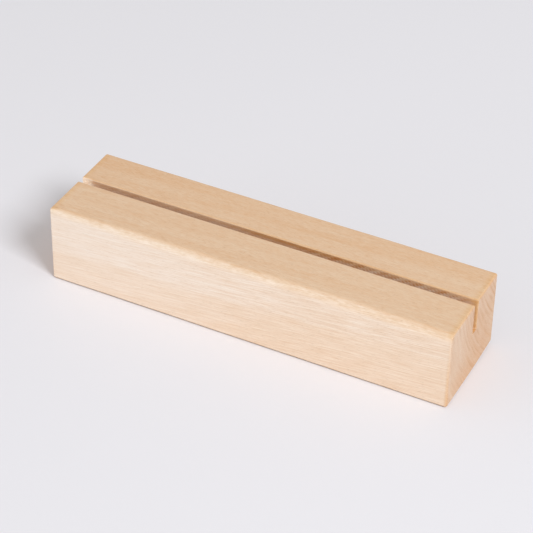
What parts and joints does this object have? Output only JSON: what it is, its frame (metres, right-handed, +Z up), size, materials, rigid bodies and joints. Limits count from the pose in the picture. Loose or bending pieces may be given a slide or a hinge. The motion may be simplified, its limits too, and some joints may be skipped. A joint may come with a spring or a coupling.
{
  "type": "wooden card stand",
  "caption": "Low solid beech block with a saw-cut slot along its top that holds a card or thin sign upright; thin rubber pads underneath.",
  "frame": {"origin": "on the table, under the middle of the block", "axes": "+X along the length and the card slot, +Y from the front face to the back face, +Z up out of the slot"},
  "size_m": [0.15, 0.0384, 0.0297],
  "materials": {
    "beech": "fine sanded natural beech, satin",
    "pad_rubber": "matte dark grey rubber"
  },
  "bodies": {
    "root": {"beech_block": "beech", "pad_front_left": "pad_rubber", "pad_front_right": "pad_rubber", "pad_back_left": "pad_rubber", "pad_back_right": "pad_rubber"}
  },
  "joints": []
}
